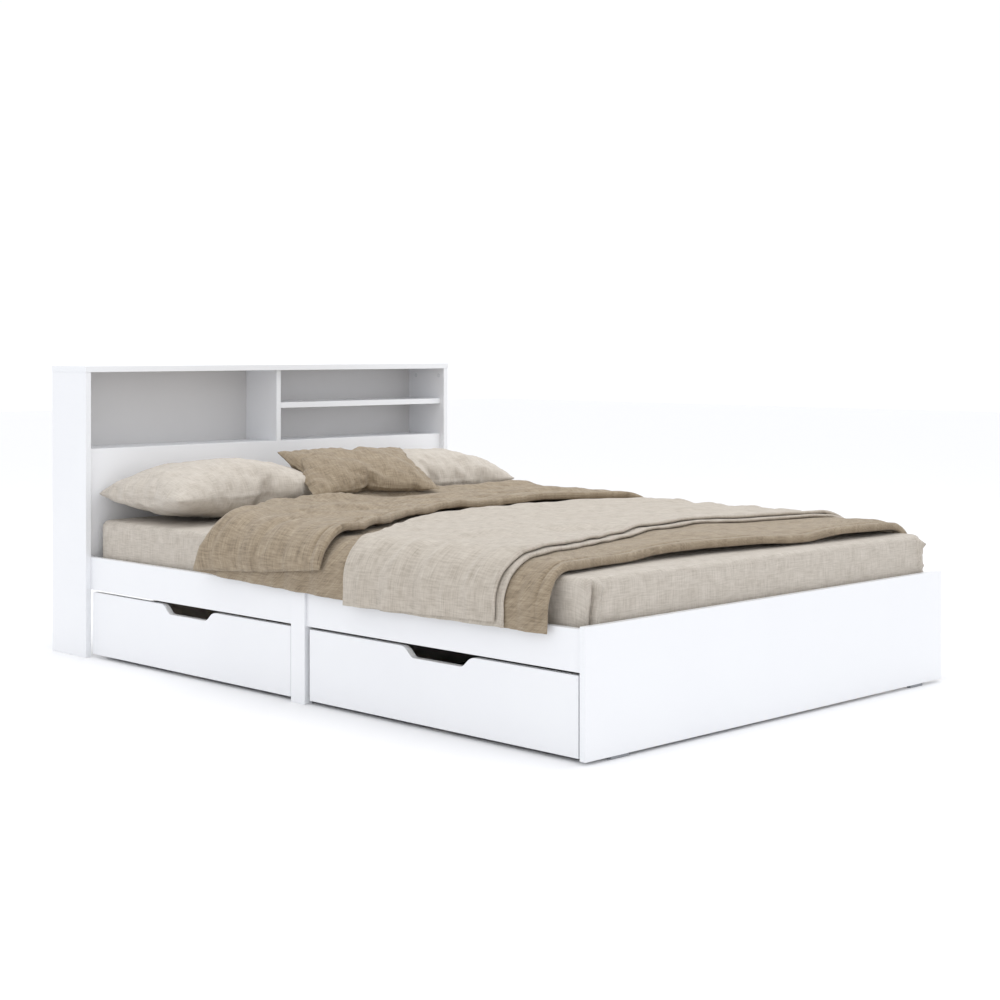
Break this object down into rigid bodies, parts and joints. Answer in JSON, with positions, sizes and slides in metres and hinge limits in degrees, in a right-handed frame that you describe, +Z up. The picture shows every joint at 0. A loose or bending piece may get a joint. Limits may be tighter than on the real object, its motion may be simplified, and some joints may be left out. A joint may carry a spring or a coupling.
{
  "type": "platform bed with storage drawers",
  "caption": "Double platform bed with a bookcase headboard, plain footboard, rolling side drawers with hand cut-outs, slatted base, mattress and linen bedding.",
  "frame": {"origin": "on the floor, in the middle of the bed's footprint", "axes": "+Z up, +Y from the footboard towards the headboard, +X to the right of someone standing at the foot; the drawers open towards -X"},
  "size_m": [1.489, 2.204, 0.873],
  "materials": {
    "white_board": "satin white melamine-faced particleboard",
    "inner_board": "white melamine-faced board, inner faces",
    "birch": "planed, unfinished",
    "dark_sheet": "thin black-faced hardboard",
    "grey_plastic": "moulded, matt",
    "black_plastic": "moulded, satin",
    "sheet_linen": "light beige washed linen",
    "pillow_linen": "light greige washed linen",
    "taupe_linen": "taupe washed linen",
    "throw_linen": "light greige washed linen"
  },
  "bodies": {
    "frame": {"headboard_side_left": "white_board", "headboard_side_right": "white_board", "headboard_top": "white_board", "headboard_apron": "white_board", "headboard_divider": "white_board", "headboard_shelf": "white_board", "footboard": "white_board", "rail_left_foot": "white_board", "rail_left_head": "white_board", "rail_right_foot": "white_board", "rail_right_head": "white_board", "post_left": "white_board", "post_right": "white_board", "headboard_floor_shelf": "inner_board", "headboard_back_sheet": "inner_board", "cross_panel": "inner_board", "slat_cleat_left": "birch", "slat_cleat_right": "birch", "slat_roll": "birch", "centre_beam": "birch", "beam_leg_foot": "birch", "beam_leg_head": "birch", "foot_glide_left": "grey_plastic", "foot_glide_right": "grey_plastic", "mattress": "sheet_linen", "pillow_left": "pillow_linen", "pillow_right": "pillow_linen", "cushion": "taupe_linen", "duvet": "taupe_linen", "throw": "throw_linen"},
    "drawer_foot": {"drawer_foot_front": "white_board", "drawer_foot_side_a": "inner_board", "drawer_foot_side_b": "inner_board", "drawer_foot_back": "inner_board", "drawer_foot_bottom": "dark_sheet", "drawer_foot_bearer": "birch", "castor_fork_foot_front_a": "grey_plastic", "castor_fork_foot_front_b": "grey_plastic", "castor_fork_foot_rear_a": "grey_plastic", "castor_fork_foot_rear_b": "grey_plastic"},
    "wheel_foot_front_a": {"castor_wheel_foot_front_a": "black_plastic"},
    "wheel_foot_front_b": {"castor_wheel_foot_front_b": "black_plastic"},
    "wheel_foot_rear_a": {"castor_wheel_foot_rear_a": "black_plastic"},
    "wheel_foot_rear_b": {"castor_wheel_foot_rear_b": "black_plastic"},
    "drawer_head": {"drawer_head_front": "white_board", "drawer_head_side_a": "inner_board", "drawer_head_side_b": "inner_board", "drawer_head_back": "inner_board", "drawer_head_bottom": "dark_sheet", "drawer_head_bearer": "birch", "castor_fork_head_front_a": "grey_plastic", "castor_fork_head_front_b": "grey_plastic", "castor_fork_head_rear_a": "grey_plastic", "castor_fork_head_rear_b": "grey_plastic"},
    "wheel_head_front_a": {"castor_wheel_head_front_a": "black_plastic"},
    "wheel_head_front_b": {"castor_wheel_head_front_b": "black_plastic"},
    "wheel_head_rear_a": {"castor_wheel_head_rear_a": "black_plastic"},
    "wheel_head_rear_b": {"castor_wheel_head_rear_b": "black_plastic"}
  },
  "joints": [
    {"name": "drawer_foot_slide", "type": "slide", "parent": "frame", "child": "drawer_foot", "axis": [-1, 0, 0], "range_m": [0, 0.6]},
    {"name": "wheel_foot_front_a_roll", "type": "hinge", "parent": "drawer_foot", "child": "wheel_foot_front_a", "pos_m": [-0.662, -1.0272, 0.018], "axis": [0, -1, 0], "continuous": true},
    {"name": "wheel_foot_front_b_roll", "type": "hinge", "parent": "drawer_foot", "child": "wheel_foot_front_b", "pos_m": [-0.662, -0.1703, 0.018], "axis": [0, -1, 0], "continuous": true},
    {"name": "wheel_foot_rear_a_roll", "type": "hinge", "parent": "drawer_foot", "child": "wheel_foot_rear_a", "pos_m": [-0.145, -1.0272, 0.018], "axis": [0, -1, 0], "continuous": true},
    {"name": "wheel_foot_rear_b_roll", "type": "hinge", "parent": "drawer_foot", "child": "wheel_foot_rear_b", "pos_m": [-0.145, -0.1703, 0.018], "axis": [0, -1, 0], "continuous": true},
    {"name": "drawer_head_slide", "type": "slide", "parent": "frame", "child": "drawer_head", "axis": [-1, 0, 0], "range_m": [0, 0.6]},
    {"name": "wheel_head_front_a_roll", "type": "hinge", "parent": "drawer_head", "child": "wheel_head_front_a", "pos_m": [-0.662, 0.0003, 0.018], "axis": [0, -1, 0], "continuous": true},
    {"name": "wheel_head_front_b_roll", "type": "hinge", "parent": "drawer_head", "child": "wheel_head_front_b", "pos_m": [-0.662, 0.8572, 0.018], "axis": [0, -1, 0], "continuous": true},
    {"name": "wheel_head_rear_a_roll", "type": "hinge", "parent": "drawer_head", "child": "wheel_head_rear_a", "pos_m": [-0.145, 0.0003, 0.018], "axis": [0, -1, 0], "continuous": true},
    {"name": "wheel_head_rear_b_roll", "type": "hinge", "parent": "drawer_head", "child": "wheel_head_rear_b", "pos_m": [-0.145, 0.8572, 0.018], "axis": [0, -1, 0], "continuous": true}
  ],
  "couplings": [
    {"joint": "wheel_foot_front_a_roll", "follows": "drawer_foot_slide", "rad_per_m": 55.556},
    {"joint": "wheel_foot_front_b_roll", "follows": "drawer_foot_slide", "rad_per_m": 55.556},
    {"joint": "wheel_foot_rear_a_roll", "follows": "drawer_foot_slide", "rad_per_m": 55.556},
    {"joint": "wheel_foot_rear_b_roll", "follows": "drawer_foot_slide", "rad_per_m": 55.556},
    {"joint": "wheel_head_front_a_roll", "follows": "drawer_head_slide", "rad_per_m": 55.556},
    {"joint": "wheel_head_front_b_roll", "follows": "drawer_head_slide", "rad_per_m": 55.556},
    {"joint": "wheel_head_rear_a_roll", "follows": "drawer_head_slide", "rad_per_m": 55.556},
    {"joint": "wheel_head_rear_b_roll", "follows": "drawer_head_slide", "rad_per_m": 55.556}
  ]
}
